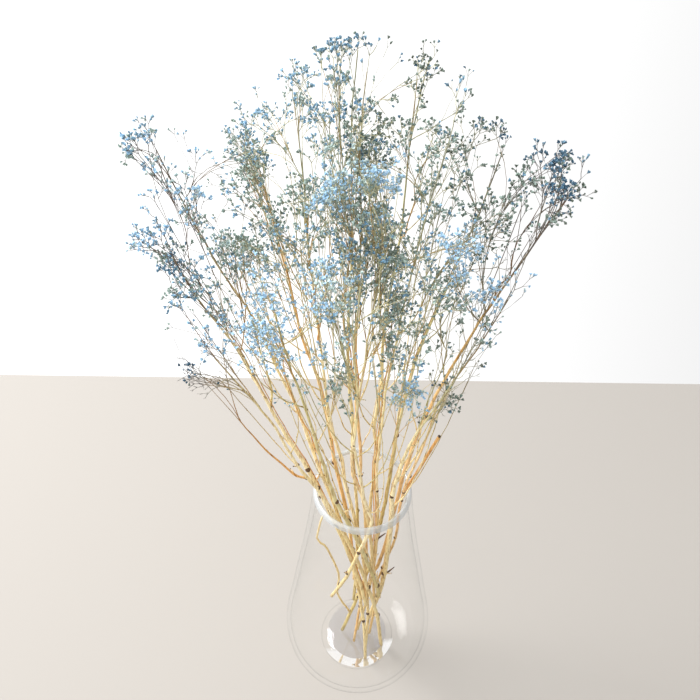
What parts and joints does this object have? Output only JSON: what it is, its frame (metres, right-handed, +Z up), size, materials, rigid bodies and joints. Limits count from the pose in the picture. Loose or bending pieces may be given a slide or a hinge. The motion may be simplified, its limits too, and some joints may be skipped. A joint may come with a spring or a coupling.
{
  "type": "dried baby's breath in vase",
  "caption": "Dried branched stems with clouds of tiny papery florets, standing in a clear pear-shaped glass vase.",
  "frame": {"origin": "middle of the vase's flat base, on the surface it stands on", "axes": "+Z up along the vase's axis, +X to the right and +Y away from the viewer as the picture shows it"},
  "size_m": [0.2357, 0.1985, 0.6178],
  "materials": {
    "clear_glass": "clear, polished",
    "dried_stem": "dry straw, dull",
    "dark_node": "dry, dull",
    "blue_floret": "dyed, papery",
    "grey_floret": "dried, papery"
  },
  "bodies": {
    "root": {"vase": "clear_glass", "spray_01": "dried_stem", "spray_02": "dried_stem", "spray_03": "dried_stem", "spray_04": "dried_stem", "spray_05": "dried_stem", "spray_06": "dried_stem", "spray_07": "dried_stem", "spray_08": "dried_stem", "spray_09": "dried_stem", "spray_10": "dried_stem", "spray_11": "dried_stem", "spray_12": "dried_stem", "spray_13": "dried_stem", "spray_14": "dried_stem", "spray_15": "dried_stem", "spray_16": "dried_stem"}
  },
  "joints": []
}
